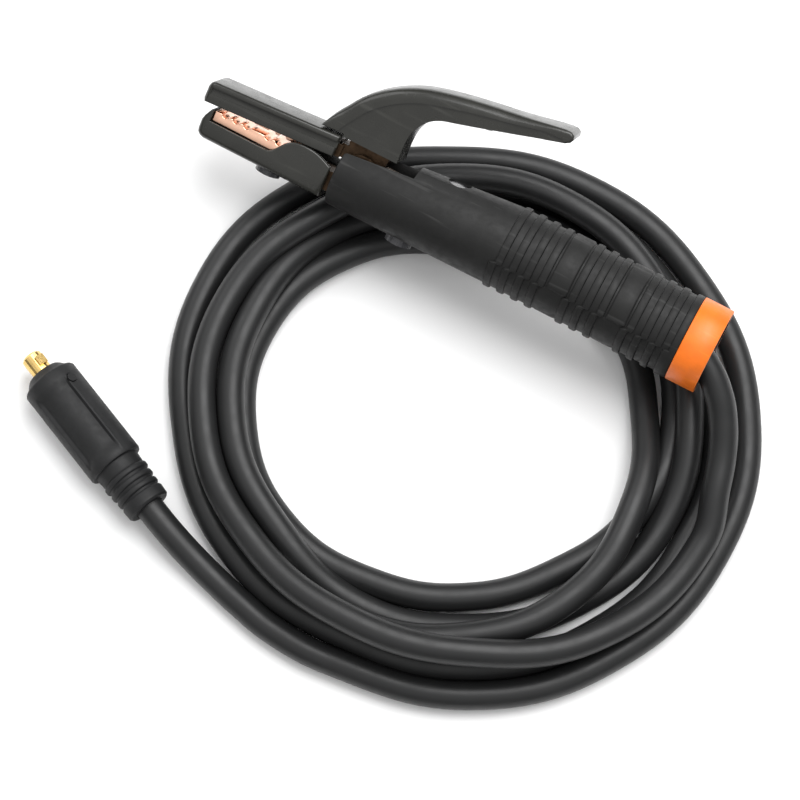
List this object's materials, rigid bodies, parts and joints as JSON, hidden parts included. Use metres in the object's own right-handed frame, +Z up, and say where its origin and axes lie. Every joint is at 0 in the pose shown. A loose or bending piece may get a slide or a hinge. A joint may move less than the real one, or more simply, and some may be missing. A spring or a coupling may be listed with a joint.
{
  "type": "welding electrode holder",
  "caption": "Spring-jaw electrode holder with an insulated lever, on a coiled rubber welding cable that ends in a bayonet cable plug.",
  "frame": {"origin": "the electrode seat: middle of the flat land on the lower copper contact, where a rod is gripped", "axes": "+X along the handle's axis from the jaws to the tail; +Z up from the surface that the coil and the plug lie on; the holder is rolled 60 degrees about X, so its lever points to +Y and up"},
  "size_m": [0.2978, 0.248, 0.08],
  "materials": {
    "plastic": "semi-gloss, worn",
    "sleeve_rubber": "matt, moulded",
    "plug_rubber": "matt, moulded",
    "cable_rubber": "satin, extruded",
    "copper": "clean copper",
    "brass": "cast and turned",
    "steel": "zinc plated",
    "black_steel": "blackened",
    "orange_band": "satin band",
    "key_plastic": "moulded"
  },
  "bodies": {
    "handle": {"lower_arm": "brass", "lower_jaw_insulator": "plastic", "lower_contact": "copper", "lower_jaw_screw": "black_steel", "pivot_pin": "steel", "pin_clip": "steel", "return_spring": "steel", "handle_sleeve": "sleeve_rubber", "sleeve_screw": "black_steel", "barrel_screw": "black_steel", "label_band": "orange_band", "clamp_screw_front": "steel", "clamp_screw_rear": "steel", "cable_ferrule": "copper", "cable_strands": "copper", "cable_tail": "cable_rubber", "cable_coil": "cable_rubber", "cable_lead": "cable_rubber", "plug_contact": "brass", "plug_sleeve": "plug_rubber", "plug_key": "key_plastic", "plug_screw_front": "steel", "plug_screw_rear": "steel", "plug_ferrule": "copper", "plug_strands": "copper"},
    "lever": {"upper_arm": "brass", "upper_jaw_insulator": "plastic", "upper_contact": "copper", "upper_contact_screw": "steel", "lever_cover": "plastic", "lever_screw": "steel"}
  },
  "joints": [
    {"name": "lever_pivot", "type": "hinge", "parent": "handle", "child": "lever", "pos_m": [0.046, 0.00407, 0.00235], "axis": [0, 0.5, -0.866], "range_deg": [0, 22], "stiffness_Nm_per_rad": 2, "springref_deg": -14.32, "deforming": ["return_spring"]}
  ]
}
